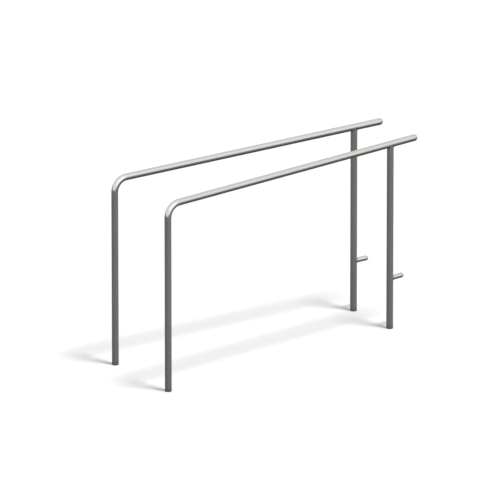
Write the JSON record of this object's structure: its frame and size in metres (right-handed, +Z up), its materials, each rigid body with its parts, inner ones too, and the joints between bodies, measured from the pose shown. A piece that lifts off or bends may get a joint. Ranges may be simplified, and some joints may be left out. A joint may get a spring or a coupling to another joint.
{
  "type": "parallel bars",
  "caption": "Converging steel parallel bars for outdoor dips: bent tube handrails on posts set in the ground, with foot pegs.",
  "frame": {"origin": "middle of the ground that the object covers, at ground level", "axes": "+X runs along the bars from the wide end, where the legs are, to the narrow end, where the handrails overhang; +Z is up; the two frames stand on the -Y side (front) and the +Y side (rear)"},
  "size_m": [2.261, 0.6932, 1.4109],
  "materials": {
    "satin_steel": "satin stainless steel tube with fine grain round it",
    "pressed_steel": "pressed and brushed stainless steel",
    "weld_steel": "cleaned weld with fine ripples",
    "plug_steel": "plain mill steel, hidden under the feet"
  },
  "bodies": {
    "root": {"front_bent_rail": "satin_steel", "front_support_post": "satin_steel", "front_foot_peg": "satin_steel", "front_rail_end_cap": "pressed_steel", "front_peg_end_cap": "pressed_steel", "front_rail_end_weld": "weld_steel", "front_peg_end_weld": "weld_steel", "front_rail_post_weld": "weld_steel", "front_peg_post_weld": "weld_steel", "front_leg_foot_plug": "plug_steel", "front_post_foot_plug": "plug_steel", "rear_bent_rail": "satin_steel", "rear_support_post": "satin_steel", "rear_foot_peg": "satin_steel", "rear_rail_end_cap": "pressed_steel", "rear_peg_end_cap": "pressed_steel", "rear_rail_end_weld": "weld_steel", "rear_peg_end_weld": "weld_steel", "rear_rail_post_weld": "weld_steel", "rear_peg_post_weld": "weld_steel", "rear_leg_foot_plug": "plug_steel", "rear_post_foot_plug": "plug_steel"}
  },
  "joints": []
}
